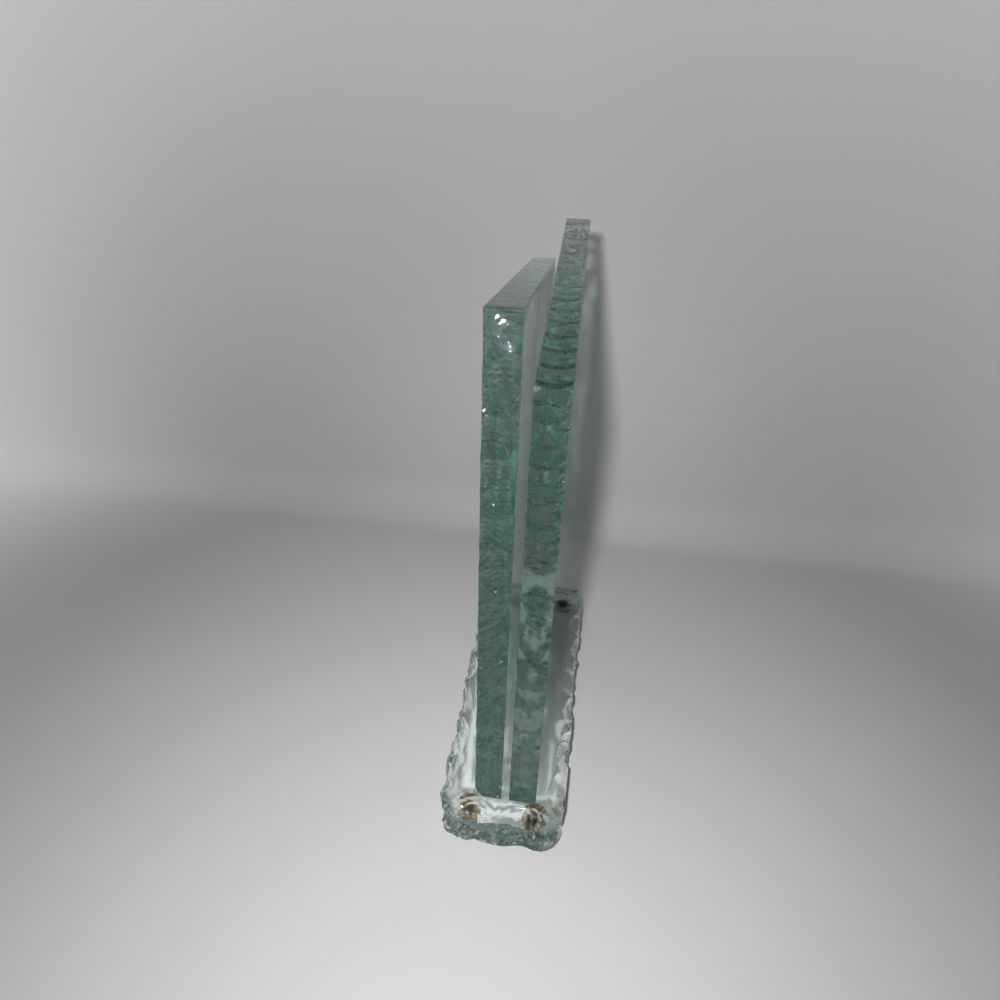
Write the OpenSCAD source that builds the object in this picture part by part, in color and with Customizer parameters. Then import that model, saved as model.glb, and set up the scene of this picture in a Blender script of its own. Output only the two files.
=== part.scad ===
// Free-standing glass picture frame: two thick glass plates stand on edge, side by side,
// on a thick glass base, and a print drops into the narrow slot between them.
// The front faces -Y, X runs along the plates and Z is up.
// The origin is on the table, under the middle of the base.

/* [Base] */
// Length of the base slab along the plates
base_length = 150; // [140:1:200]
// Width of the base slab, front to back, at the end under the rear plate's low side
base_low_end_width = 47; // [44:1:70]
// Width of the base slab, front to back, at the other end
base_high_end_width = 57; // [50:1:80]
// Thickness of the base slab
base_thickness = 15; // [12:0.5:20]
// Radius of the base slab's corners seen from above
base_corner_radius = 10; // [6:0.5:14]

/* [Plates] */
// Width of both plates
plate_width = 127; // [100:1:130]
// Thickness of the glass that both plates are cut from
plate_thickness = 10; // [6:0.5:12]
// Height of the front plate
front_height = 178; // [120:1:260]
// Height of the rear plate at its low side
rear_low_height = 160; // [110:1:230]
// Rise of the rear plate's top edge from its low side to its high side
rear_rise = 34; // [10:1:60]
// Radius of the rear plate's top corners
rear_corner_radius = 2; // [1:0.5:10]
// Width of the slot that the print drops into
slot_width = 3; // [2:0.5:6]
// Distance of the plates' middle from the base's middle, towards the low side
plate_shift = 3.5; // [0:0.5:5]
// Distance of the slot from the base's middle line, towards the rear
slot_shift = 1.2; // [0:0.1:3]
// Thickness of the clear adhesive under each plate
bond_thickness = 0.2; // [0.1:0.05:0.5]
// Distance that the adhesive stays back from the plate's ends
bond_inset = 2; // [1:0.5:6]

/* [Chipped edges of the base] */
// Spacing of the large shell-shaped chips along the base's edge
base_chip_pitch = 20; // [16:1:40]
// Radius of the sphere that each large chip follows
base_chip_radius = 24; // [24:1:28]
// How far the largest chips eat into the top face
base_chip_depth = 7; // [2:0.25:7]
// Height of each large chip's centre above the top face
base_chip_rise = 20; // [16:0.5:21]
// Length of the long sides that the large chips leave free; the ends leave half of it
base_chip_margin = 8; // [4:1:16]
// Radius of the sphere that each small chip under the slab follows
under_chip_radius = 12; // [8:1:16]
// How far the small chips eat into the bottom face
under_chip_depth = 1.5; // [0.5:0.25:3]
// Depth of each small chip's centre below the bottom face
under_chip_drop = 3; // [1:0.5:5]
// Length of the long sides that the small chips leave free; the ends leave half of it
under_chip_margin = 26; // [16:1:36]

/* [Chipped edges of the plates] */
// Spacing of the chips down the plates' upright edges
side_chip_pitch = 13; // [8:1:25]
// Depth of the deepest chips in the upright edges
side_chip_depth = 0.9; // [0.3:0.1:1.5]
// Spacing of the cross ridges along the rear plate's sloping top
ridge_pitch = 8; // [5:0.5:16]
// Depth of the deepest hollows between those ridges
ridge_depth = 0.7; // [0.2:0.1:1.5]
// Distance from the sloping top's corners at which the ridges begin
ridge_margin = 10; // [8:0.5:20]
// Radius of the chip struck from the front plate's bottom corner
corner_chip_radius = 12; // [11:0.25:13]

/* [Feet] */
// Diameter of each bumper foot where it is stuck on
foot_diameter = 10; // [6:0.5:12]
// Height of each bumper foot
foot_height = 2; // [1:0.25:4]
// Width of the bevel round the bottom of each foot
foot_bevel = 0.8; // [0.2:0.1:0.9]
// Distance of the feet's centres from the ends of the base
foot_inset_length = 10.5; // [10:0.5:20]
// Distance of the feet's centres from the long sides of the base
foot_inset_width = 11; // [10:0.5:14]

/* [Hidden] */
$fn = 64;
clear_glass = [0.80, 0.88, 0.85, 0.55];
green_glass = [0.32, 0.50, 0.46, 0.75];
clear_adhesive = [0.90, 0.92, 0.90, 0.6];
amber_rubber = [0.52, 0.40, 0.16];
base_top = foot_height + base_thickness;
plate_foot = base_top + bond_thickness;
plate_low_end = plate_shift + plate_width / 2;
plate_high_end = plate_shift - plate_width / 2;
front_plate_face = slot_shift - slot_width / 2 - plate_thickness;
rear_plate_face = slot_shift + slot_width / 2;
rear_slope = atan(rear_rise / plate_width);
base_taper = atan((base_high_end_width - base_low_end_width) / 2 / base_length);
// The wave that makes chips differ: its start, its turn from one chip to the next,
// and the smallest share of the full depth on the base and on the plates
chip_wave_start = 40;
chip_turn = 137.5;
smallest_base_share = 0.5;
smallest_plate_share = 0.35;
// Place of the corner chip's centre beyond the plate's end, face and foot
corner_chip_out = 8;
corner_chip_front = 5.5;
corner_chip_drop = 2;

// A share between low and 1 that differs from chip to chip
function uneven(i, low) =
    low + (1 - low) * (0.5 + 0.5 * sin(i * chip_turn + chip_wave_start));

function unit(v) = v / norm(v);

// Half the base's width at a place along it
function base_half_width(x) =
    (base_low_end_width + base_high_end_width) / 4 - x * tan(base_taper);

// A convex outline with round corners: corners run counterclockwise, with a radius for each
function round_corners(corners, radii, steps = 8) =
    [for (i = [0:len(corners) - 1])
        let (before = corners[(i + len(corners) - 1) % len(corners)],
             after = corners[(i + 1) % len(corners)],
             back = unit(before - corners[i]),
             ahead = unit(after - corners[i]),
             half_angle = acos(back * ahead) / 2,
             centre = corners[i] + unit(back + ahead) * radii[i] / sin(half_angle),
             outward = atan2(-(back + ahead)[1], -(back + ahead)[0]),
             turn = 90 - half_angle)
        for (j = [0:steps])
            let (a = outward - turn + 2 * turn * j / steps)
            if (radii[i] > 0 || j == 0) centre + radii[i] * [cos(a), sin(a)]];

// Shallow hollows side by side along the X axis, cut down from y = 0; first picks where
// the wave of depths starts
module hollows(run, pitch, depth, first) {
    count = max(1, round(run / pitch));
    step = run / count;
    for (i = [0:count - 1]) {
        sag = depth * uneven(i + first, smallest_plate_share);
        radius = (step * step / 4 + sag * sag) / (2 * sag);
        translate([(i + 0.5) * step, radius - sag]) circle(radius);
    }
}

// Large chips along one side of the base: the side is the X axis and the slab lies below it
module row_of_chips(run, radius, depth, rise, first) {
    count = max(1, round(run / base_chip_pitch));
    step = run / count;
    reach = sqrt(radius * radius - rise * rise);
    for (i = [0:count - 1]) {
        bite = depth * uneven(i + first, smallest_base_share);
        translate([(i + 0.5) * step - run / 2, reach - bite, rise]) sphere(radius);
    }
}

// Chips round all four sides of the base, struck from one face
module chips_round_base(radius, depth, rise, margin, first) {
    for (side = [0, 1]) {
        rotate(180 * side) translate([0, base_half_width(0), 0])
            rotate(side == 0 ? -base_taper : base_taper)
            row_of_chips(base_length - margin, radius, depth, rise, first + 7 * side);
        rotate(180 * side + 90) translate([0, base_length / 2, 0])
            row_of_chips(2 * base_half_width((side - 0.5) * base_length) - margin / 2,
                         radius, depth, rise, first + 3 + 7 * side);
    }
}

module base_outline() {
    end = base_length / 2;
    low = base_half_width(end);
    high = base_half_width(-end);
    polygon(round_corners([[-end, -high], [end, -low], [end, low], [-end, high]],
                          [for (i = [0:3]) base_corner_radius]));
}

module base_slab() {
    color(clear_glass)
    difference() {
        translate([0, 0, foot_height]) linear_extrude(base_thickness) base_outline();
        translate([0, 0, base_top])
            chips_round_base(base_chip_radius, base_chip_depth, base_chip_rise,
                             base_chip_margin, 0);
        translate([0, 0, foot_height])
            chips_round_base(under_chip_radius, under_chip_depth, -under_chip_drop,
                             under_chip_margin, 4);
    }
}

// Stands a flat outline up on its foot, with its front face at y = front
module stand_up(front) {
    translate([plate_high_end, front + plate_thickness, plate_foot])
        rotate([90, 0, 0]) linear_extrude(plate_thickness) children();
}

// Chips down both upright edges of a plate outline whose foot is the X axis
module upright_chips(low_side_height, high_side_height, first) {
    translate([plate_width, low_side_height]) rotate(-90)
        hollows(low_side_height, side_chip_pitch, side_chip_depth, first);
    rotate(90) hollows(high_side_height, side_chip_pitch, side_chip_depth, first + 5);
}

module front_plate() {
    color(green_glass)
    difference() {
        stand_up(front_plate_face) difference() {
            square([plate_width, front_height]);
            upright_chips(front_height, front_height, 2);
        }
        translate([plate_low_end + corner_chip_out,
                   front_plate_face - corner_chip_front,
                   plate_foot - corner_chip_drop]) sphere(corner_chip_radius);
    }
}

module rear_outline() {
    polygon(round_corners([[0, 0], [plate_width, 0], [plate_width, rear_low_height],
                           [0, rear_low_height + rear_rise]],
                          [0, 0, rear_corner_radius, rear_corner_radius]));
}

module rear_plate() {
    color(green_glass)
    stand_up(rear_plate_face) difference() {
        rear_outline();
        upright_chips(rear_low_height - rear_corner_radius,
                      rear_low_height + rear_rise - rear_corner_radius, 6);
        translate([0, rear_low_height + rear_rise]) rotate(-rear_slope)
            translate([ridge_margin, 0])
            hollows(plate_width / cos(rear_slope) - 2 * ridge_margin,
                    ridge_pitch, ridge_depth, 1);
    }
}

// Film of clear adhesive between the base and the foot of a plate
module bond(front) {
    color(clear_adhesive)
    translate([plate_high_end + bond_inset, front, base_top])
        cube([plate_width - 2 * bond_inset, plate_thickness, bond_thickness]);
}

module front_bond() {
    bond(front_plate_face);
}

module rear_bond() {
    bond(rear_plate_face);
}

// Bumper foot near one corner of the base; right and back are -1 or 1
module foot(right, back) {
    radius = foot_diameter / 2;
    x = right * (base_length / 2 - foot_inset_length);
    color(amber_rubber)
    translate([x, back * (base_half_width(x) - foot_inset_width), 0])
        rotate_extrude() polygon([[0, 0], [radius - foot_bevel, 0], [radius, foot_bevel],
                                  [radius, foot_height], [0, foot_height]]);
}

module front_left_foot() {
    foot(-1, -1);
}

module front_right_foot() {
    foot(1, -1);
}

module rear_left_foot() {
    foot(-1, 1);
}

module rear_right_foot() {
    foot(1, 1);
}

base_slab();
front_plate();
rear_plate();
front_bond();
rear_bond();
front_left_foot();
front_right_foot();
rear_left_foot();
rear_right_foot();
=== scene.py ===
"""Looks of the glass picture frame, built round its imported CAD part.

Two thick glass plates stand on a thick glass base with hand-chipped edges. Lengths are in
millimetres here and become Blender's metres where a mesh or an object is placed.
"""

import math

import bpy
import numpy as np
from mathutils import Matrix, Vector


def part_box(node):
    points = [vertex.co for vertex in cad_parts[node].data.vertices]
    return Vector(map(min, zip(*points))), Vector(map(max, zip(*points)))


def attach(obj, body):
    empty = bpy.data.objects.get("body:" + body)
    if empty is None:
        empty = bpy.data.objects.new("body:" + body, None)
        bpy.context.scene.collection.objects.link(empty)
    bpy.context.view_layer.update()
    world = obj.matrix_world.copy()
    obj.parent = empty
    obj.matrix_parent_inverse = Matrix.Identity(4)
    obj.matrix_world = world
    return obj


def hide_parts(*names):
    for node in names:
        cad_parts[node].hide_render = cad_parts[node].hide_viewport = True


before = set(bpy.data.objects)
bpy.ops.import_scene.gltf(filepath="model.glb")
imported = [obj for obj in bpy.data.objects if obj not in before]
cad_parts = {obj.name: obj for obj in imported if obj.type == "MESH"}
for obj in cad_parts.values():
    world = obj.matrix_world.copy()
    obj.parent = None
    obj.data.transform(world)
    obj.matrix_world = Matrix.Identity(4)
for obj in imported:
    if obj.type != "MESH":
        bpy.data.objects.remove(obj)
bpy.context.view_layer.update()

MM = 0.001
# Every noise and every table of flakes adds its own number to the seed
SEED = 11


def node_box(node):
    """Lowest and highest corner of a CAD node, in millimetres."""
    low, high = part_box(node)
    return np.array(low) / MM, np.array(high) / MM


base_low, base_high = node_box("base_slab")
front_low, front_high = node_box("front_plate")
rear_low, rear_high = node_box("rear_plate")

# Sizes that the boxes don't give, as the part's source has them
BASE_LOW_END_WIDTH = 47.0
BASE_HIGH_END_WIDTH = 57.0
BASE_CORNER_RADIUS = 10.0
REAR_LOW_HEIGHT = 160.0
REAR_RISE = 34.0
REAR_CORNER_RADIUS = 2.0
BASE_LENGTH = base_high[0] - base_low[0]
# How much half the base's width shrinks for each millimetre towards the low end
BASE_TAPER = (BASE_HIGH_END_WIDTH - BASE_LOW_END_WIDTH) / 2 / BASE_LENGTH
# Chips round the base: their pitch, and each kind's radius, depth, rise, margin and place
# in the wave of depths
BASE_CHIP_PITCH = 20.0
LARGE_BASE_CHIPS = (24.0, 7.0, 20.0, 8.0, 0)
SMALL_BASE_CHIPS = (12.0, 1.5, -3.0, 26.0, 4)
# Broad scars at the base's low end: each one's middle, how far it reaches in from the end,
# its roundness seen from above and its drop at the end
END_SCARS = ((-9.5, 7.7, 8.6, 1.9), (8.0, 6.9, 26.0, 1.7))
# Hollows down the plates' upright edges
SIDE_CHIP_PITCH = 13.0
SIDE_CHIP_DEPTH = 0.9
# The wave that makes those chips differ: its start, its turn from one chip to the next,
# both in degrees, and the smallest share of the full depth on the base and on the plates
CHIP_WAVE_START = 40
CHIP_TURN = 137.5
SMALLEST_BASE_SHARE = 0.5
SMALLEST_PLATE_SHARE = 0.35
# A chip at a corner of each plate: how far the sphere's middle lies out from the corner, to
# the front of it and above it, and the sphere's radius
FRONT_CORNER_CHIP = (8.0, 5.5, -2.0, 12.0)
REAR_CORNER_CHIP = (4.1, 4.4, 3.1, 9.0)
# Distance from one scoop along the rear plate's slope to the next
SCOOP_PITCH = 8.6

# Sides of a plate's outline, counterclockwise from its foot
RIGHT, TOP, LEFT = 1, 2, 3
# Steps between the points along the base's side, and along a plate's chipped or plain side
BASE_STEP = 0.35
CHIPPED_STEP = 0.3
PLAIN_STEP = 2.0

GLASS_IOR = 1.52

# The camera stands where the photograph was taken from
CAMERA_PLACE = (205.4, 13.2, 218.5)
CAMERA_HEADING = 187.31
CAMERA_PITCH = -27.91
CAMERA_ROLL = 1.99
CAMERA_LENS = 20.80
# The light that the far background shows to the camera, straight or through glass
FAR_COLOUR = (0.42, 0.418, 0.415, 1)


def make_camera():
    heading = math.radians(CAMERA_HEADING)
    pitch = math.radians(CAMERA_PITCH)
    forward = Vector((math.cos(heading) * math.cos(pitch),
                      math.sin(heading) * math.cos(pitch),
                      math.sin(pitch)))
    level = forward.to_track_quat("-Z", "Y").to_matrix()
    turn = Matrix.Rotation(math.radians(CAMERA_ROLL), 3, "Z")
    data = bpy.data.cameras.new("camera")
    data.lens = CAMERA_LENS
    data.sensor_width = 36.0
    data.clip_start = 0.01
    data.clip_end = 20.0
    camera = bpy.data.objects.new("camera", data)
    camera.matrix_world = (level @ turn).to_4x4()
    camera.location = Vector(CAMERA_PLACE) * MM
    bpy.context.scene.collection.objects.link(camera)
    bpy.context.scene.camera = camera


# Outlines


def walk_outline(corners, radii, steps):
    """Points along a convex outline with round corners, counterclockwise.

    Side k runs from corner k to the next with points steps[k] apart; a round corner is
    shared. Gives the places, their inward normals, the side that each is on, its distance
    along that side and its distance along the whole outline.
    """
    corners = np.array(corners, float)
    count = len(corners)
    sides = np.roll(corners, -1, axis=0) - corners
    lengths = np.linalg.norm(sides, axis=1)
    ways = sides / lengths[:, None]
    outward = np.stack([ways[:, 1], -ways[:, 0]], axis=1)
    cut = []
    for k in range(count):
        half = (math.pi - math.acos(ways[k - 1] @ ways[k])) / 2
        cut.append(radii[k] / math.tan(half))
    rows = []
    for k in range(count):
        following = (k + 1) % count
        straight = lengths[k] - cut[k] - cut[following]
        stops = max(2, round(straight / steps[k]))
        for t in np.linspace(0, straight, stops, endpoint=False):
            place = corners[k] + ways[k] * (cut[k] + t)
            rows.append((*place, *-outward[k], k, cut[k] + t))
        radius = radii[following]
        centre = corners[following] - ways[k] * cut[following] - outward[k] * radius
        start = math.atan2(outward[k][1], outward[k][0])
        turn = math.acos(ways[k] @ ways[following])
        stops = max(4, round(radius * turn / min(steps)))
        for a in np.linspace(0, turn, stops, endpoint=False):
            way = np.array([math.cos(start + a), math.sin(start + a)])
            place = centre + way * radius
            if a < turn / 2:
                side, along = k, lengths[k] - cut[following] + radius * a
            else:
                side, along = following, cut[following] - radius * (turn - a)
            rows.append((*place, *-way, side, along))
    rows = np.array(rows)
    places = rows[:, 0:2]
    gaps = np.linalg.norm(places - np.roll(places, 1, axis=0), axis=1)
    gaps[0] = 0
    return places, rows[:, 2:4], rows[:, 4].astype(int), rows[:, 5], np.cumsum(gaps)


# Shapes of broken glass


def smooth_step(low, high, x):
    t = np.clip((x - low) / (high - low), 0, 1)
    return t * t * (3 - 2 * t)


def uneven(i, low):
    """The share of full depth that a chip has in the part's source."""
    wave = math.sin(math.radians(i * CHIP_TURN + CHIP_WAVE_START))
    return low + (1 - low) * (0.5 + 0.5 * wave)


def sphere_bites(places, normals, spheres):
    """How far inward each point has to move to leave every sphere, and the sphere it left.

    places and normals are (N, 3), spheres are rows of centre x, y, z and radius.
    """
    depth = np.zeros(len(places))
    which = np.full(len(places), -1)
    for number, (x, y, z, radius) in enumerate(spheres):
        offset = places - (x, y, z)
        inside = radius * radius - np.einsum("ij,ij->i", offset, offset)
        ahead = np.einsum("ij,ij->i", offset, normals)
        bite = -ahead + np.sqrt(np.maximum(ahead * ahead + inside, 0))
        bite = np.where(inside > 0, bite * smooth_step(0, 2.0, inside), 0)
        deeper = bite > depth
        depth = np.where(deeper, bite, depth)
        which = np.where(deeper, number, which)
    return depth, which


def value_noise(x, y, seed):
    """Smooth noise from -1 to 1 on a grid of spacing 1."""
    table = np.random.default_rng(seed).uniform(-1, 1, (64, 64))
    xi, yi = np.floor(x).astype(int), np.floor(y).astype(int)
    u, v = smooth_step(0, 1, x - xi), smooth_step(0, 1, y - yi)
    a = table[xi % 64, yi % 64]
    b = table[(xi + 1) % 64, yi % 64]
    c = table[xi % 64, (yi + 1) % 64]
    d = table[(xi + 1) % 64, (yi + 1) % 64]
    return a * (1 - u) * (1 - v) + b * u * (1 - v) + c * (1 - u) * v + d * u * v


def flake_table(random, run, across_range, pitch, length, width, tilt, depth):
    """Flakes struck from an edge at uneven steps along it. Each row is the flake's middle
    along and across, its half length and half width, its tilt and its depth; all but run,
    the pitch and the tilt are ranges that a flake picks from."""
    rows = []
    at = 0.0
    while at < run:
        rows.append((at, random.uniform(*across_range), random.uniform(*length),
                     random.uniform(*width), math.radians(random.normal(*tilt)),
                     random.uniform(*depth)))
        at += pitch * random.uniform(0.5, 1.5)
    return rows


def flaked(along, across, rows, wrap=None):
    """Depth of the deepest flake at each point, and small ripples in it that spread from
    where the flake was struck. wrap is the length of a closed edge."""
    depth = np.zeros(along.shape)
    ripple = np.zeros(along.shape)
    for a, c, length, width, tilt, deep in rows:
        off = along - a
        if wrap is not None:
            off = (off + wrap / 2) % wrap - wrap / 2
        near = np.flatnonzero(np.abs(off) < max(length, width) * 1.1)
        u = (off[near] * math.sin(tilt) + (across[near] - c) * math.cos(tilt)) / length
        w = (off[near] * math.cos(tilt) - (across[near] - c) * math.sin(tilt)) / width
        here = deep * (1 - u * u - w * w)
        deeper = here > depth[near]
        won = near[deeper]
        depth[won] = here[deeper]
        reach = np.hypot((u[deeper] + 1) * length, w[deeper] * width)
        spacing = 0.9 + 0.12 * length
        ripple[won] = 0.045 * deep * np.sin(2 * math.pi * reach / spacing)
    return depth + ripple


# Slabs of glass


def even_columns(low, high, arris, step):
    inner = np.linspace(low + arris, high - arris, round((high - low) / step))
    return np.concatenate([[low], inner, [high]])


def slab(name, outline, columns, bite, arris, stand):
    """A slab of glass: an outline given a thickness, with its edge bitten. columns are the
    places across the thickness at which the edge has points, from one face to the other.

    bite(places, normals, sides, along, position, across) gives the depth in mm and how
    rough each point is from 0 to 1. arris has the bevel of each side. stand turns (u, v, w)
    into the part's x, y, z, where w is across.
    """
    places, normals, sides, along, position = outline
    rows, width = len(places), len(columns)
    flat = [np.repeat(x, width, axis=0) for x in (places, normals, sides, along, position)]
    across = np.tile(columns, rows)
    depth, rough = bite(*flat, across)
    from_face = np.minimum(columns - columns[0], columns[-1] - columns)
    bevel = np.array(arris)[flat[2]]
    depth = depth + np.maximum(bevel - np.tile(from_face, rows), 0)
    moved = flat[0] + flat[1] * depth[:, None]
    points = stand(moved[:, 0], moved[:, 1], across) * MM
    here = np.arange(rows)[:, None] * width + np.arange(width - 1)[None, :]
    there = ((np.arange(rows) + 1) % rows)[:, None] * width + np.arange(width - 1)[None, :]
    quads = np.stack([here, there, there + 1, here + 1], axis=-1).reshape(-1, 4)
    faces = [tuple(q) for q in quads.tolist()]
    first_face = [i * width for i in range(rows)]
    last_face = [i * width + width - 1 for i in range(rows)]
    faces += [tuple(reversed(first_face)), tuple(last_face)]
    mesh = bpy.data.meshes.new(name)
    mesh.from_pydata(points.tolist(), [], faces)
    if signed_volume(mesh) < 0:
        mesh.flip_normals()
    mesh.shade_smooth()
    mesh.set_sharp_from_angle(angle=math.radians(38))
    for face in (mesh.polygons[-1], mesh.polygons[-2]):
        for corner in face.loop_indices:
            mesh.edges[mesh.loops[corner].edge_index].use_edge_sharp = True
    share = mesh.attributes.new("rough_edge", "FLOAT", "FACE")
    by_face = np.append(rough.reshape(rows, width)[:, :-1].ravel(), (0, 0))
    share.data.foreach_set("value", by_face.astype(np.float32))
    piece = bpy.data.objects.new(name, mesh)
    bpy.context.scene.collection.objects.link(piece)
    return piece


def signed_volume(mesh):
    total = 0.0
    for face in mesh.polygons:
        total += face.center.dot(face.normal) * face.area
    return total / 3


def upright(u, v, w):
    return np.stack([u, w, v], axis=1)


def lying(u, v, w):
    return np.stack([u, v, w], axis=1)


# The base


def base_half_width(x):
    return (BASE_LOW_END_WIDTH + BASE_HIGH_END_WIDTH) / 4 - x * BASE_TAPER


def base_spheres(radius, depth, rise, margin, first, level):
    """Centres and radii of the chips round the base, as the part's source places them."""
    taper = math.atan(BASE_TAPER)
    reach = math.sqrt(radius * radius - rise * rise)
    spheres = []
    for side in (0, 1):
        for end in (0, 1):
            if end:
                run = 2 * base_half_width((side - 0.5) * BASE_LENGTH) - margin / 2
                offset, tilt = BASE_LENGTH / 2, 0.0
            else:
                run = BASE_LENGTH - margin
                offset, tilt = base_half_width(0), taper if side else -taper
            turn = math.pi * side + math.pi / 2 * end
            count = max(1, round(run / BASE_CHIP_PITCH))
            for i in range(count):
                x = (i + 0.5) * run / count - run / 2
                share = uneven(i + first + 7 * side + 3 * end, SMALLEST_BASE_SHARE)
                y = reach - depth * share
                x, y = (x * math.cos(tilt) - y * math.sin(tilt),
                        x * math.sin(tilt) + y * math.cos(tilt) + offset)
                spheres.append((x * math.cos(turn) - y * math.sin(turn),
                                x * math.sin(turn) + y * math.cos(turn),
                                level + rise, radius))
    return spheres


def chip_ripples(places, across, which, spheres):
    """Ripples in the chips that spread from where each was struck on the base's edge."""
    ripple = np.zeros(len(places))
    for number, (x, y, *_) in enumerate(spheres):
        here = np.flatnonzero(which == number)
        if len(here) == 0:
            continue
        struck = places[here][np.argmin(np.hypot(*(places[here] - (x, y)).T))]
        away = np.hypot(*(places[here] - struck).T)
        away = np.hypot(away, 2.5 * (across[here] - across[here].max()))
        ripple[here] = 0.12 * np.sin(2 * math.pi * away / (2.1 + 0.25 * (number % 4)))
    return ripple


def terraces(position, across, top):
    """Long low steps in the base's large chips, almost parallel to its edge."""
    drift = 1.3 * value_noise(position / 21.0, across / 5.0, SEED + 60)
    drift += 0.3 * value_noise(position / 5.0, across / 5.0, SEED + 61)
    step = 2 * math.pi * ((top - across) / 1.1 + drift)
    waves = np.sin(step) + 0.4 * np.sin(2.3 * step + 1.0)
    return 0.24 * waves * smooth_step(0, 0.6, top - across)


def end_scars(places, across, top):
    """Depth of the broad scars at the end nearest the camera, inward from that end."""
    depth = np.zeros(len(places))
    for middle, inward, roundness, drop in END_SCARS:
        away = places[:, 1] - middle
        reach = np.maximum(inward - away * away / (2 * roundness), 0)
        share = np.clip((top - across) / (drop * np.maximum(reach / inward, 0.05)), 0, 1)
        fall = reach * (1 - share) ** 0.36
        wave = 0.25 * np.sin(2 * math.pi * np.hypot(away, fall) / 2.4)
        depth = np.maximum(depth, fall + wave * smooth_step(0, 2, reach) * (share < 1))
    return depth


def make_base():
    low, high = base_half_width(BASE_LENGTH / 2), base_half_width(-BASE_LENGTH / 2)
    end = BASE_LENGTH / 2
    outline = walk_outline([[-end, -high], [end, -low], [end, low], [-end, high]],
                           [BASE_CORNER_RADIUS] * 4, [BASE_STEP] * 4)
    top, bottom = base_high[2], base_low[2]
    large = base_spheres(*LARGE_BASE_CHIPS, top)
    small = base_spheres(*SMALL_BASE_CHIPS, bottom)
    round_trip = outline[4][-1]
    random = np.random.default_rng(SEED)
    rows = flake_table(random, round_trip, (bottom + 5, bottom + 10), 6.0, (3.5, 6),
                       (4, 7), (80, 25), (1.2, 2.4))
    rows += flake_table(random, round_trip, (bottom + 1, bottom + 5), 5.0, (3, 6), (2.5, 5),
                        (70, 35), (0.8, 2.0))
    fine = flake_table(random, round_trip, (bottom, top - 3), 1.6, (1.2, 4), (0.6, 1.5),
                       (55, 35), (0.2, 0.6))
    upper = flake_table(random, round_trip, (top - 4, top), 5.0, (3, 6), (1.2, 2.2),
                        (85, 15), (0.8, 1.8))

    def bite(places, normals, sides, along, position, across):
        spots = np.column_stack([places, across])
        ways = np.column_stack([normals, np.zeros(len(places))])
        depth, which = sphere_bites(spots, ways, large + small)
        depth += chip_ripples(places, across, which, large)
        depth += terraces(position, across, top) * ((which >= 0) & (which < len(large)))
        at_end = smooth_step(-0.5, -0.95, normals[:, 0])
        depth = np.maximum(depth, end_scars(places, across, top) * at_end)
        calm = 1 - 0.8 * at_end * smooth_step(top - 4.5, top - 2.5, across)
        depth = np.maximum(depth, calm * flaked(position, across, rows, round_trip))
        depth += calm * flaked(position, across, fine, round_trip)
        depth += (1 - at_end) * flaked(position, across, upper, round_trip)
        depth += 0.06 * (1 + value_noise(position / 2.0, across / 2.0, SEED + 2))
        return depth, np.ones(len(places))

    closer_to_top = np.linspace(1, 0, 80) ** 1.6
    columns = top - (top - bottom) * closer_to_top
    return slab("base_glass", outline, columns, bite, [0.15] * 4, lying)


# The plates


def hollows(along, run, start, first):
    """Depth of shallow hollows side by side, as the part's source cuts them."""
    count = max(1, round(run / SIDE_CHIP_PITCH))
    step = run / count
    result = np.zeros(along.shape)
    for i in range(count):
        sag = SIDE_CHIP_DEPTH * uneven(i + first, SMALLEST_PLATE_SHARE)
        radius = (step * step / 4 + sag * sag) / (2 * sag)
        away = along - start - (i + 0.5) * step
        inside = np.abs(away) < step / 2
        depth_here = np.sqrt(np.maximum(radius * radius - away * away, 0)) - radius + sag
        result = np.where(inside, depth_here, result)
    return result


def edge_grain(along, across, seed):
    """Fine unevenness of a chipped plate edge."""
    grain = 0.05 * value_noise(along / 2.6, across / 2.6, seed)
    return grain + 0.02 * value_noise(along / 0.9, across / 0.9, seed + 1)


def corner_sphere(x, y, z, chip):
    """Centre and radius of the sphere that a chip follows at a plate's corner."""
    out, front, above, radius = chip
    return [(x + out, y - front, z + above, radius)]


def shells(random, run, near, far, pitch, deep):
    """Large shells struck from a plate's edge, one above the other: each reaches across
    most of the thickness from the front or the back, with small ones between."""
    middle = (near + far) / 2
    rows = flake_table(random, run, (middle - 3, middle + 3), pitch,
                       (0.55 * pitch, 0.7 * pitch), (6, 9), (90, 8), (0.8 * deep, 1.2 * deep))
    for edge, lean in ((near, 70), (far, 110)):
        rows += flake_table(random, run, (edge - 1, edge + 1), 1.3 * pitch,
                            (0.3 * pitch, 0.5 * pitch), (2, 4), (lean, 14),
                            (0.6 * deep, 1.1 * deep))
    return rows


def splinters(random, run, near, far):
    """Slanting splinters that are thicker on the ground towards the foot."""
    rows = flake_table(random, run, (near, far), 0.8, (1.6, 4.2), (0.5, 1.1), (52, 14),
                       (0.4, 1.1))
    rows = [row for row in rows
            if random.uniform() > 0.15 + 0.9 * smooth_step(0.3, 0.8, row[0] / run)]
    return rows + flake_table(random, run, (near, near + 5), 5.0, (2.0, 4.5), (0.5, 1.0),
                              (128, 16), (0.2, 0.5))


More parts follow.
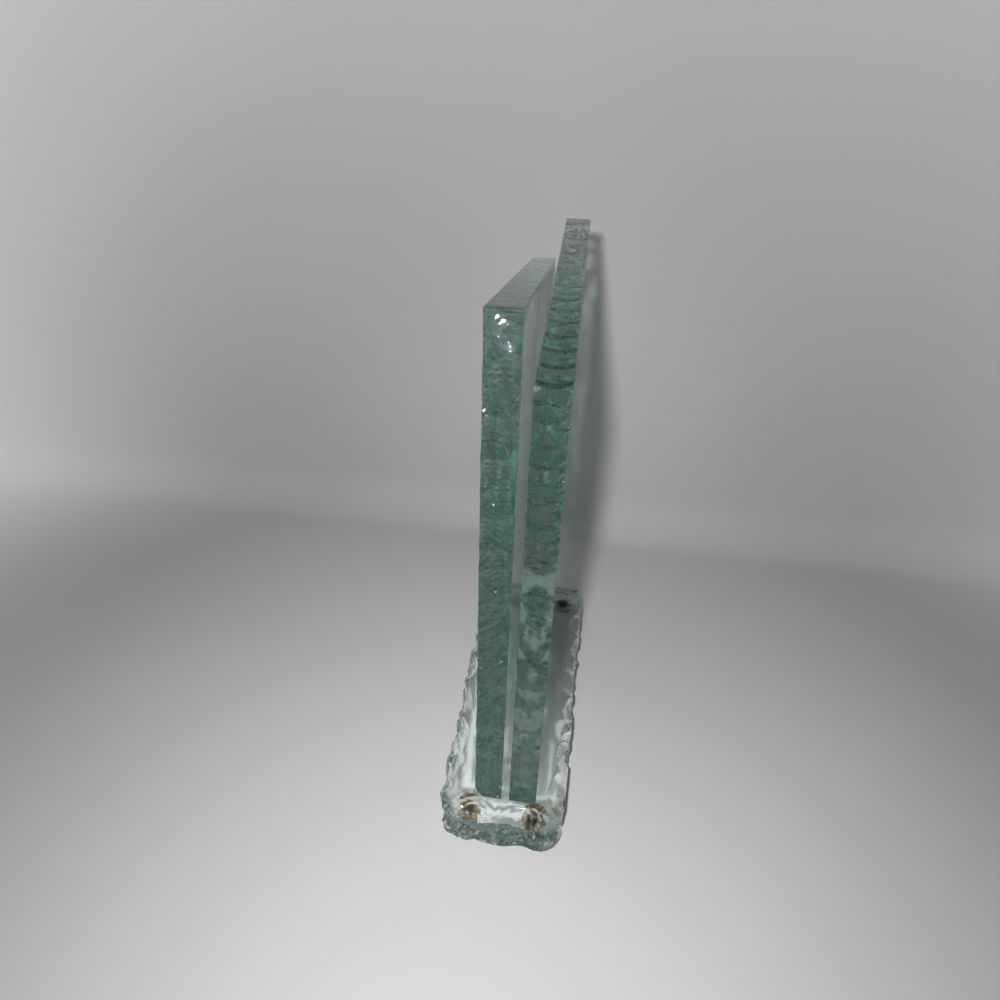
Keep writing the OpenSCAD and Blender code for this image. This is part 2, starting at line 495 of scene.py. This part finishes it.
def make_front_plate():
    x0, z0, x1, z1 = front_low[0], front_low[2], front_high[0], front_high[2]
    outline = walk_outline([[x0, z0], [x1, z0], [x1, z1], [x0, z1]], [1.0] * 4,
                           [PLAIN_STEP, CHIPPED_STEP, PLAIN_STEP, CHIPPED_STEP])
    near, far = front_low[1], front_high[1]
    height = z1 - z0
    corner_chip = corner_sphere(x1, near, z0, FRONT_CORNER_CHIP)
    random = np.random.default_rng(SEED + 1)
    topmost = [(height - 9.0, near + 2.0, 7.5, 5.5, math.radians(60), 1.5),
               (height - 19.0, far - 2.5, 8.0, 5.0, math.radians(118), 1.0)]
    large = {RIGHT: shells(random, height, near, far, 10.0, 1.3) + topmost,
             LEFT: shells(random, height, near, far, 8.5, 2.1)}
    fine = {RIGHT: splinters(random, height, near, far), LEFT: []}

    def bite(places, normals, sides, along, position, across):
        depth = np.zeros(len(places))
        rough = np.zeros(len(places))
        for side, first in ((RIGHT, 2), (LEFT, 7)):
            here = sides == side
            up = along if side == RIGHT else height - along
            chips = hollows(height - along, height, 0, first)
            edge = np.maximum(0.6 * chips, flaked(up, across, large[side]))
            edge += flaked(up, across, fine[side])
            edge += edge_grain(along, across, SEED + side) + 0.1
            fade = smooth_step(0, 2.0, along) * smooth_step(0, 2.0, height - along)
            depth = np.where(here, np.maximum(edge, 0) * fade, depth)
            rough = np.where(here, 1.0, rough)
        spots = np.column_stack([places[:, 0], across, places[:, 1]])
        ways = np.column_stack([normals[:, 0], np.zeros(len(places)), normals[:, 1]])
        corner, _ = sphere_bites(spots, ways, corner_chip)
        return np.maximum(depth, corner), rough

    columns = even_columns(near, far, 0.3, CHIPPED_STEP)
    return slab("front_glass", outline, columns, bite, [0.3, 0.3, 0.3, 0.05], upright)


def make_rear_plate():
    x0, z0, x1 = rear_low[0], rear_low[2], rear_high[0]
    corners = [[x0, z0], [x1, z0], [x1, z0 + REAR_LOW_HEIGHT],
               [x0, z0 + REAR_LOW_HEIGHT + REAR_RISE]]
    radii = [1.0, 1.0, 0.5 * REAR_CORNER_RADIUS, REAR_CORNER_RADIUS]
    outline = walk_outline(corners, radii, [PLAIN_STEP] + [CHIPPED_STEP] * 3)
    near, far = rear_low[1], rear_high[1]
    slope = math.hypot(x1 - x0, REAR_RISE)
    low_height, high_height = REAR_LOW_HEIGHT, REAR_LOW_HEIGHT + REAR_RISE
    random = np.random.default_rng(SEED + 3)
    middle = (near + far) / 2
    large = shells(random, high_height, near, far, 8.0, 2.4)
    arris = flake_table(random, low_height, (far - 0.6, far + 0.4), 3.2, (1.2, 3.2),
                        (0.8, 1.8), (30, 20), (0.3, 0.8))
    arris += flake_table(random, low_height, (near - 0.4, near + 0.2), 9.0, (1.0, 2.2),
                         (0.6, 1.2), (120, 20), (0.1, 0.3))
    scales = []
    for edge, lean in ((near + 1.5, 68), (far - 1.5, 112)):
        scales += flake_table(random, slope, (edge - 1, edge + 1), 8.0, (4.5, 6.5),
                              (3.0, 4.2), (lean, 9), (0.3, 0.7))
    nicks = flake_table(random, slope, (near, far), 7.0, (0.8, 2.4), (0.4, 0.9),
                        (20, 25), (0.06, 0.2))
    corner_chip = corner_sphere(x1, near, z0 + REAR_LOW_HEIGHT, REAR_CORNER_CHIP)

    def bite(places, normals, sides, along, position, across):
        depth = np.zeros(len(places))
        rough = np.zeros(len(places))
        low_side = flaked(along, across, arris)
        low_side += 0.10 * (1 + value_noise(along / 14.0, across / 9.0, SEED + 30))
        chips = hollows(along, high_height - REAR_CORNER_RADIUS, REAR_CORNER_RADIUS, 11)
        high_side = np.maximum(0.8 * chips, flaked(high_height - along, across, large))
        high_side *= 0.3 + 0.7 * smooth_step(0, 14, along)
        # Scoops one after the other, bowed across the slope and deeper at its low end
        smile = 2.0 * ((across - middle) / 5) ** 2
        drift = 2.2 * value_noise(along / 19.0, across * 0, SEED + 50)
        phase = (along + drift - smile + 3.0) / SCOOP_PITCH % 1
        scoop_depth = 2.0 - 1.4 * smooth_step(20, 95, along)
        scoop = scoop_depth * phase * (1 - smooth_step(0.72, 1, phase))
        top_side = np.maximum(scoop, flaked(along, across, scales))
        top_side += flaked(along, across, nicks)
        top_side *= smooth_step(0, 9, slope - along)
        edges = {RIGHT: (low_side, 0.3), TOP: (top_side, 0.15), LEFT: (high_side, 1.0)}
        for side, (edge, roughness) in edges.items():
            here = sides == side
            depth = np.where(here, edge + 0.05, depth)
            rough = np.where(here, roughness, rough)
        fade = smooth_step(0, 2.0, places[:, 1] - z0)
        depth = np.maximum(depth + edge_grain(position, across, SEED + 9) * rough, 0) * fade
        spots = np.column_stack([places[:, 0], across, places[:, 1]])
        ways = np.column_stack([normals[:, 0], np.zeros(len(places)), normals[:, 1]])
        corner, _ = sphere_bites(spots, ways, corner_chip)
        return np.maximum(depth, corner), rough

    columns = even_columns(near, far, 0.3, CHIPPED_STEP)
    return slab("rear_glass", outline, columns, bite, [0.3, 0.3, 0.2, 0.05], upright)


# Bonds and feet


def make_bond(node):
    """The cured film under a plate. It reaches a little into the glass above and below,
    so that light goes straight through the joint."""
    low, high = node_box(node)
    reach = 0.05
    corners = [[low[0], low[1]], [high[0], low[1]], [high[0], high[1]], [low[0], high[1]]]
    outline = walk_outline(corners, [1.5] * 4, [PLAIN_STEP] * 4)

    def bite(places, normals, sides, along, position, across):
        squeeze = 0.35 + 0.25 * value_noise(position / 9.0, across * 0, SEED + 80)
        return squeeze, np.zeros(len(places))

    columns = even_columns(low[2] - reach, high[2] + reach, 0.02, 0.1)
    return slab(node + "_film", outline, columns, bite, [0.02] * 4, lying)


def make_foot(node):
    """A moulded bumper foot. Only the middle of its top touches the glass, and round that
    its top dips a little."""
    low, high = node_box(node)
    centre = (low + high) / 2
    radius, height = (high[0] - low[0]) / 2, high[2] - low[2]
    profile = [(radius * 0.5, height), (radius * 0.6, height - 0.06),
               (radius * 0.8, height - 0.1), (radius * 0.97, height - 0.12),
               (radius, height * 0.88), (radius * 0.985, height * 0.72),
               (radius * 0.95, height * 0.45), (radius * 0.88, height * 0.2),
               (radius * 0.78, height * 0.05), (radius * 0.66, 0.0)]
    around = 64
    points, faces = [], []
    for r, z in profile:
        for k in range(around):
            a = 2 * math.pi * k / around
            points.append((r * math.cos(a), r * math.sin(a), z))
    for j in range(len(profile) - 1):
        for k in range(around):
            following = (k + 1) % around
            faces.append((j * around + k, (j + 1) * around + k,
                          (j + 1) * around + following, j * around + following))
    faces.append(tuple(range(around)))
    last = (len(profile) - 1) * around
    faces.append(tuple(last + k for k in reversed(range(around))))
    mesh = bpy.data.meshes.new(node + "_bumper")
    mesh.from_pydata((np.array(points) * MM).tolist(), [], faces)
    if signed_volume(mesh) < 0:
        mesh.flip_normals()
    mesh.shade_smooth()
    mesh.set_sharp_from_angle(angle=math.radians(50))
    piece = bpy.data.objects.new(node + "_bumper", mesh)
    piece.location = Vector((centre[0], centre[1], 0)) * MM
    bpy.context.scene.collection.objects.link(piece)
    return piece


# Materials


class Nodes:
    """The node tree of a new material or world, with short calls for the nodes used here."""

    def __init__(self, name, kind="Material"):
        holders = bpy.data.materials if kind == "Material" else bpy.data.worlds
        self.holder = holders.new(name)
        self.holder.use_nodes = True
        self.tree = self.holder.node_tree
        self.tree.nodes.clear()
        self.output = self.tree.nodes.new("ShaderNodeOutput" + kind)

    def add(self, kind, **settings):
        node = self.tree.nodes.new("ShaderNode" + kind)
        for key, value in settings.items():
            if key in node.inputs:
                node.inputs[key].default_value = value
            else:
                setattr(node, key, value)
        return node

    def link(self, source, target):
        self.tree.links.new(source, target)

    def math(self, operation, a, b):
        node = self.add("Math", operation=operation)
        for socket, value in zip(node.inputs, (a, b)):
            if isinstance(value, (int, float)):
                socket.default_value = value
            else:
                self.link(value, socket)
        return node.outputs[0]

    def noise(self, scale, stretch=(1, 1, 1), detail=3.0, where=None):
        """Noise over the object, with scale in cycles a millimetre."""
        where = where or self.add("TexCoord").outputs["Object"]
        mapping = self.add("Mapping")
        mapping.inputs["Scale"].default_value = [scale * s / MM for s in stretch]
        self.link(where, mapping.inputs["Vector"])
        noise = self.add("TexNoise", Scale=1.0, Detail=detail)
        self.link(mapping.outputs[0], noise.inputs["Vector"])
        return noise.outputs["Fac"]

    def separate(self, vector, axis):
        node = self.add("SeparateXYZ")
        self.link(vector, node.inputs[0])
        return node.outputs[axis]

    def ramp(self, value, start, end, low, high):
        """Goes smoothly from low at start to high at end."""
        node = self.add("MapRange", interpolation_type="SMOOTHSTEP")
        for name, number in (("From Min", start), ("From Max", end),
                             ("To Min", low), ("To Max", high)):
            node.inputs[name].default_value = number
        self.link(value, node.inputs["Value"])
        return node.outputs[0]

    def shows_background(self):
        """1 for the camera's rays and what they see in gloss and through glass, else 0.
        Rays that are caught in the glass see the darker room."""
        rays = self.add("LightPath").outputs
        seen = self.math("MAXIMUM", rays["Is Camera Ray"], rays["Is Glossy Ray"])
        seen = self.math("MAXIMUM", seen, rays["Is Transmission Ray"])
        direct = self.math("MULTIPLY", self.math("LESS_THAN", rays["Diffuse Depth"], 0.5),
                           self.math("LESS_THAN", rays["Glossy Depth"], 1.5))
        return self.math("MULTIPLY", seen, direct)

    def bump(self, height, strength, distance_mm, below=None):
        node = self.add("Bump", Strength=strength, Distance=distance_mm * MM)
        self.link(height, node.inputs["Height"])
        if below is not None:
            self.link(below, node.inputs["Normal"])
        return node.outputs[0]


def let_lamps_through(n, shader, tint, kept):
    """Puts the shader on the surface, with the kept share of the lamps' light going
    straight through it, so that what stands behind or under the glass is lit as it is in
    reality."""
    clear = n.add("BsdfTransparent")
    clear.inputs["Color"].default_value = (*tint, 1)
    mix = n.add("MixShader")
    is_shadow = n.add("LightPath").outputs["Is Shadow Ray"]
    n.link(n.math("MULTIPLY", is_shadow, kept), mix.inputs[0])
    n.link(shader.outputs[0], mix.inputs[1])
    n.link(clear.outputs[0], mix.inputs[2])
    n.link(mix.outputs[0], n.output.inputs["Surface"])


def kept_by_base(n):
    """The base throws light aside where its chips are steep. Through its top face it
    gathers light in streaks along its edges, with darker lines between them and a darker
    border outside them."""
    chipped = n.add("Attribute", attribute_name="rough_edge").outputs["Fac"]
    up = n.separate(n.add("NewGeometry").outputs["Normal"], 2)
    steep = n.ramp(n.math("ABSOLUTE", up, 0.0), 0.80, 0.97, 0.9, 0.0)
    where = n.add("TexCoord").outputs["Object"]
    along, aside = n.separate(where, 0), n.separate(where, 1)
    half = n.math("SUBTRACT", base_half_width(0) * MM, n.math("MULTIPLY", along, BASE_TAPER))
    from_side = n.math("SUBTRACT", half, n.math("ABSOLUTE", aside, 0.0))
    from_end = n.math("SUBTRACT", BASE_LENGTH / 2 * MM, n.math("ABSOLUTE", along, 0.0))
    inside = n.math("MINIMUM", from_side, from_end)

    def wave(width, scale, detail, sway):
        """Goes from 0 to 0.5 and back for each width in from the edge, swaying by noise."""
        steps = n.math("DIVIDE", inside, width * MM)
        wander = n.math("MULTIPLY", n.noise(scale, (0.8, 1, 1), detail), sway)
        return n.math("PINGPONG", n.math("ADD", steps, wander), 0.5)

    broad = wave(5.2, 0.05, 3.0, 3.6)
    bright = n.ramp(broad, 0.24, 0.40, 0.0, 0.75)
    dark = n.ramp(broad, 0.06, 0.15, 1.1, 0.0)
    fine = wave(7.4, 0.045, 2.0, 3.2)
    off_line = n.math("ABSOLUTE", n.math("SUBTRACT", fine, 0.25), 0.0)
    slot_middle = (front_high[1] + rear_low[1]) / 2 * MM
    from_slot = n.math("ABSOLUTE", n.math("SUBTRACT", aside, slot_middle), 0.0)
    under_slot = n.math("MULTIPLY", n.ramp(from_slot, 2 * MM, 4 * MM, 1.0, 0.0),
                        n.ramp(along, 68 * MM, 72 * MM, 0.85, 0.0))
    for darkness in (n.ramp(from_side, 4.0 * MM, 6.5 * MM, 0.60, 0.0),
                     n.ramp(off_line, 0.02, 0.06, 1.0, 0.0),
                     under_slot,
                     n.ramp(aside, 8 * MM, 13 * MM, 0.0, 0.80)):
        dark = n.math("ADD", dark, darkness)
    on_top = n.ramp(n.separate(where, 2), 8 * MM, 12 * MM, 0.0, 1.0)
    streaks = n.math("MULTIPLY", n.math("SUBTRACT", bright, dark), on_top)
    level = n.math("SUBTRACT", 1.0, n.math("MULTIPLY", steep, chipped))
    kept = n.math("MULTIPLY", level, 0.70)
    return n.math("ADD", kept, n.math("MULTIPLY", streaks, kept))


def kept_by_plate(n):
    """A plate passes no light through its large faces, and through its edges only in
    patches, where the chips gather it."""
    across = n.separate(n.add("NewGeometry").outputs["Normal"], 1)
    patches = n.ramp(n.noise(0.16, (1, 1.6, 1), 2.0), 0.42, 0.58, 0.20, 1.0)
    edges = n.ramp(n.math("ABSOLUTE", across, 0.0), 0.4, 0.9, 1.0, 0.0)
    return n.math("MULTIPLY", patches, edges)


def crushed_base_and_painted_light(n):
    """The base's chips: pale specks all round, painted highlights in facets along the back.
    """
    aside = n.separate(n.add("TexCoord").outputs["Object"], 1)
    specks = n.ramp(n.noise(0.6, (1, 1, 1), 3.0), 0.45, 0.75, 0.0, 0.18)
    # Painted highlights: pale facets on the back side stand in for the bright light that the
    # chips refract there.
    facets = n.ramp(n.noise(0.11, (1, 1, 1.5), 5.0), 0.46, 0.66, 0.0, 0.35)
    at_back = n.ramp(aside, 16 * MM, 20 * MM, 0.0, 1.0)
    return n.math("MAXIMUM", specks, n.math("MULTIPLY", facets, at_back))


def crushed_plate_and_painted_light(n):
    """Whiteness of the plates' broken edges: patches in the left edges, partly painted light,
    and paler ones in the rear plate's right edge, a painted reflection, alike on both sides
    of the plate's middle."""
    where = n.add("TexCoord").outputs["Object"]
    along, aside, height = (n.separate(where, axis) for axis in range(3))
    # Partly painted light: the left edges' patches are pale fractured glass, placed where
    # bright light gathered through the plate shows.
    patches = n.ramp(n.noise(0.2, (1, 1, 1), 4.0), 0.48, 0.58, 0.0, 1.0)
    at_left = n.math("MULTIPLY", patches, n.ramp(along, -56 * MM, -50 * MM, 0.4, 0.0))
    at_left = n.math("MULTIPLY", at_left, n.ramp(height, 140 * MM, 180 * MM, 1.0, 0.0))
    # Painted reflection: the paler patches in the rear plate's right edge are mirrored about
    # its middle, as the glass's inner reflections are, and stand in for them.
    mirrored = n.add("CombineXYZ")
    middle = (rear_low[1] + rear_high[1]) / 2 * MM
    from_middle = n.math("ABSOLUTE", n.math("SUBTRACT", aside, middle), 0.0)
    n.link(from_middle, mirrored.inputs[0])
    n.link(height, mirrored.inputs[1])
    glow = n.add("TexNoise", Scale=0.13 / MM, Detail=2.0, Distortion=0.6)
    n.link(mirrored.outputs[0], glow.inputs["Vector"])
    glow = n.ramp(glow.outputs["Fac"], 0.50, 0.60, 0.0, 0.18)
    for share in (n.ramp(height, 40 * MM, 48 * MM, 0.0, 1.0),
                  n.ramp(height, 118 * MM, 130 * MM, 1.0, 0.0),
                  n.ramp(along, 60 * MM, 64 * MM, 0.0, 1.0),
                  n.ramp(aside, 2 * MM, 2.6 * MM, 0.0, 1.0)):
        glow = n.math("MULTIPLY", glow, share)
    return n.math("MAXIMUM", at_left, glow)


def hackle(n, rough):
    """Fine slanting ridges in the plates' broken edges, fainter in the rear plate and
    towards the top."""
    where = n.add("TexCoord").outputs["Object"]
    slanted = n.add("Mapping")
    slanted.inputs["Rotation"].default_value = (math.radians(35), 0, 0)
    n.link(where, slanted.inputs["Vector"])
    ridges = n.noise(0.13, (1, 1, 0.3), 3.0, slanted.outputs[0])
    ridges = n.math("PINGPONG", n.math("MULTIPLY", ridges, 4.0), 0.5)
    in_front = n.ramp(n.separate(where, 1), 0.0, 2 * MM, 1.0, 0.3)
    low_down = n.ramp(n.separate(where, 2), 85 * MM, 130 * MM, 1.0, 0.15)
    ridges = n.math("MULTIPLY", n.math("MULTIPLY", ridges, in_front), low_down)
    return n.math("MULTIPLY", ridges, rough)


def glass_material(name, density, absorbed, kept, whiteness_and_painted_light, tint):
    """Soda-lime glass: clear in the thin, green in the long, with grain where it broke.
    Patches of the broken edges turn pale, as much as the whiteness function says, partly as
    fractured glass and partly as painted light, and as green as tint says, a painted tint
    of the light that has crossed the long green glass. Tinted glass has hackle too."""
    n = Nodes(name)
    shader = n.add("BsdfPrincipled")
    shader.inputs["IOR"].default_value = GLASS_IOR
    rough = n.add("Attribute", attribute_name="rough_edge").outputs["Fac"]
    grain = n.noise(0.9)
    flakes = n.noise(0.28)
    height = n.math("MULTIPLY", n.math("ADD", grain, n.math("MULTIPLY", flakes, 2.0)), rough)
    fine = n.bump(height, 0.12, 0.15)
    if tint:
        fine = n.bump(hackle(n, rough), 0.8, 0.35, fine)
    n.link(fine, shader.inputs["Normal"])
    smear = n.math("MULTIPLY", n.noise(0.02, (1, 1, 1), 5.0), 0.006)
    frosting = n.math("MULTIPLY", n.ramp(n.noise(0.45, (1, 1, 1), 4.0), 0.5, 0.7, 0.02, 0.12),
                      rough)
    # Pale share: partly fractured glass, partly painted light standing in for bright light in
    # the edges.
    pale_and_painted_share = n.math("MULTIPLY", whiteness_and_painted_light(n), rough)
    n.link(n.math("SUBTRACT", 1.0, pale_and_painted_share), shader.inputs["Transmission Weight"])
    shader.inputs["Base Color"].default_value = (1, 1, 1, 1)
    if tint:
        # Painted light: the pale patches are tinted green-blue like light that has crossed
        # the long glass.
        tinted = n.add("Mix", data_type="RGBA")
        tinted.inputs["A"].default_value = (1, 1, 1, 1)
        tinted.inputs["B"].default_value = (0.52, 0.96, 0.87, 1)
        n.link(n.math("MULTIPLY", pale_and_painted_share, tint), tinted.inputs["Factor"])
        n.link(tinted.outputs["Result"], shader.inputs["Base Color"])
    n.link(n.math("ADD", smear, frosting), shader.inputs["Roughness"])
    let_lamps_through(n, shader, (0.98, 1.0, 0.99), kept(n))
    volume = n.add("VolumeAbsorption", Density=density)
    volume.inputs["Color"].default_value = (*absorbed, 1)
    n.link(volume.outputs[0], n.output.inputs["Volume"])
    return n.holder


def adhesive_material():
    n = Nodes("cured_adhesive")
    shader = n.add("BsdfPrincipled")
    shader.inputs["Base Color"].default_value = (0.96, 0.98, 0.96, 1)
    shader.inputs["Transmission Weight"].default_value = 1.0
    shader.inputs["IOR"].default_value = GLASS_IOR
    bubbles = n.noise(0.25, (1, 1, 1), 2.0)
    n.link(n.math("MULTIPLY", bubbles, 0.06), shader.inputs["Roughness"])
    let_lamps_through(n, shader, (1.0, 1.0, 1.0), 0.95)
    return n.holder


def rubber_material():
    """Aged clear rubber: golden, with brown streaks that run out from the middle."""
    n = Nodes("amber_rubber")
    shader = n.add("BsdfPrincipled")
    shader.inputs["Transmission Weight"].default_value = 0.45
    shader.inputs["IOR"].default_value = 1.5
    shader.inputs["Roughness"].default_value = 0.3
    where = n.add("TexCoord").outputs["Object"]
    angle = n.math("ARCTAN2", n.separate(where, 1), n.separate(where, 0))
    length = n.add("VectorMath", operation="LENGTH")
    n.link(where, length.inputs[0])
    low, high = node_box("front_left_foot")
    radius = n.math("DIVIDE", length.outputs["Value"], (high[0] - low[0]) / 2 * MM)
    ray = n.add("CombineXYZ")
    n.link(n.math("MULTIPLY", n.math("SINE", angle, 0.0), 7.0), ray.inputs[0])
    n.link(n.math("MULTIPLY", n.math("COSINE", angle, 0.0), 7.0), ray.inputs[1])
    n.link(n.math("MULTIPLY", radius, 1.2), ray.inputs[2])
    streaks = n.add("TexNoise", Scale=1.0, Detail=3.0)
    n.link(ray.outputs[0], streaks.inputs["Vector"])
    paler = n.math("MULTIPLY", n.math("SUBTRACT", radius, 0.5), 0.75)
    contrast = n.math("MULTIPLY", n.math("SUBTRACT", streaks.outputs["Fac"], 0.5), 1.7)
    tone = n.math("ADD", n.math("ADD", contrast, paler), 0.28)
    ramp = n.add("ValToRGB")
    stops = ramp.color_ramp.elements
    stops[0].position, stops[0].color = 0.28, (0.030, 0.016, 0.004, 1)
    stops[1].position, stops[1].color = 0.92, (0.78, 0.74, 0.52, 1)
    for position, colour in ((0.45, (0.16, 0.09, 0.015, 1)), (0.64, (0.32, 0.25, 0.08, 1))):
        stops.new(position).color = colour
    n.link(tone, ramp.inputs[0])
    n.link(ramp.outputs[0], shader.inputs["Base Color"])
    n.link(n.bump(n.noise(1.2), 0.3, 0.15), shader.inputs["Normal"])
    n.link(shader.outputs[0], n.output.inputs["Surface"])
    return n.holder


# The stage


def make_sweep():
    """A pale floor that curves up into a backdrop close behind the frame. The backdrop
    has no back, so that from behind it the frame is seen on a floor that goes on."""
    wall_x, bend, reach = -175.0, 30.0, 1500.0
    profile = [(reach, 0.0), (wall_x + bend, 0.0)]
    for k in range(1, 12):
        a = math.pi / 2 * k / 12
        profile.append((wall_x + bend - bend * math.sin(a), bend - bend * math.cos(a)))
    profile += [(wall_x, bend), (wall_x, 1600.0)]
    points, faces = [], []
    for strip in (profile, [(wall_x + bend, 0.0), (-reach, 0.0)]):
        first = len(points)
        for x, z in strip:
            points += [(x, -reach, z), (x, reach, z)]
        faces += [(k, k + 1, k + 3, k + 2) for k in range(first, len(points) - 2, 2)]
    mesh = bpy.data.meshes.new("sweep")
    mesh.from_pydata((np.array(points) * MM).tolist(), [], faces)
    mesh.shade_smooth()
    sweep = bpy.data.objects.new("sweep", mesh)
    bpy.context.scene.collection.objects.link(sweep)
    n = Nodes("pale_paper")
    shader = n.add("BsdfPrincipled", Roughness=0.9)
    length = n.add("VectorMath", operation="LENGTH")
    where = n.add("TexCoord").outputs["Object"]
    n.link(where, length.inputs[0])
    away = length.outputs["Value"]
    far = n.math("MAXIMUM", n.ramp(away, 220 * MM, 600 * MM, 0.0, 1.0),
                 n.ramp(n.separate(where, 0), 210 * MM, 330 * MM, 0.0, 1.0))
    tone = n.math("ADD", n.math("MULTIPLY", n.noise(0.01, (1, 1, 1), 6.0), 0.18),
                  n.ramp(away, 250 * MM, 520 * MM, 0.0, 0.5))
    ramp = n.add("ValToRGB")
    ramp.color_ramp.elements[0].color = (0.54, 0.535, 0.53, 1)
    ramp.color_ramp.elements[1].color = (0.81, 0.805, 0.80, 1)
    n.link(tone, ramp.inputs[0])
    n.link(ramp.outputs[0], shader.inputs["Base Color"])
    n.link(n.bump(n.noise(0.8), 0.15, 0.2), shader.inputs["Normal"])
    glow = n.add("Emission")
    glow.inputs["Color"].default_value = FAR_COLOUR
    n.link(n.math("MULTIPLY", far, n.shows_background()), glow.inputs["Strength"])
    both = n.add("AddShader")
    n.link(shader.outputs[0], both.inputs[0])
    n.link(glow.outputs[0], both.inputs[1])
    mix = n.add("MixShader")
    n.link(n.add("NewGeometry").outputs["Backfacing"], mix.inputs[0])
    n.link(both.outputs[0], mix.inputs[1])
    n.link(n.add("BsdfTransparent").outputs[0], mix.inputs[2])
    n.link(mix.outputs[0], n.output.inputs["Surface"])
    mesh.materials.append(n.holder)


def add_area_light(name, place, target, size, power):
    data = bpy.data.lights.new(name, "AREA")
    data.shape = "DISK"
    data.size = size * MM
    data.energy = power
    light = bpy.data.objects.new(name, data)
    way = Vector(target) - Vector(place)
    light.matrix_world = way.to_track_quat("-Z", "Y").to_matrix().to_4x4()
    light.location = Vector(place) * MM
    light.visible_camera = False
    bpy.context.scene.collection.objects.link(light)


def make_lights():
    add_area_light("key_light", (212.0, -4.0, 236.0), (0.0, 0.0, 60.0), 12.0, 0.84)
    add_area_light("top_light", (150.0, -250.0, 850.0), (0.0, 0.0, 0.0), 600.0, 0.6)
    n = Nodes("studio", "World")
    mix = n.add("MixShader")
    n.link(n.shows_background(), mix.inputs[0])
    for k, colour in ((1, (0.05, 0.05, 0.05, 1)), (2, FAR_COLOUR)):
        light = n.add("Background")
        light.inputs["Color"].default_value = colour
        n.link(light.outputs[0], mix.inputs[k])
    n.link(mix.outputs[0], n.output.inputs["Surface"])
    bpy.context.scene.world = n.holder


def place(piece, material, slot, *nodes):
    """Gives the piece its material, parents it to the root, hides the CAD nodes it stands
    for.
    """
    piece.data.materials.append(material)
    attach(piece, "root")
    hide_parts(*nodes)


def main():
    make_camera()
    clear = glass_material("base_glass", 6.0, (0.0, 0.46, 0.36), kept_by_base, crushed_base_and_painted_light,
                           0.0)
    green = glass_material("plate_glass", 9.0, (0.10, 0.44, 0.35), kept_by_plate,
                           crushed_plate_and_painted_light, 8.0)
    adhesive = adhesive_material()
    rubber = rubber_material()
    place(make_base(), clear, "base_glass", "base_slab")
    place(make_front_plate(), green, "plate_glass", "front_plate")
    place(make_rear_plate(), green, "plate_glass", "rear_plate")
    for node in ("front_bond", "rear_bond"):
        place(make_bond(node), adhesive, "adhesive", node)
    for node in ("front_left_foot", "front_right_foot", "rear_left_foot", "rear_right_foot"):
        place(make_foot(node), rubber, "foot_rubber", node)
    make_sweep()
    make_lights()
    scene = bpy.context.scene
    scene.view_settings.view_transform = "Standard"
    scene.cycles.max_bounces = 32
    scene.cycles.transmission_bounces = 32
    scene.cycles.glossy_bounces = 16
    scene.cycles.sample_clamp_indirect = 2.0


main()
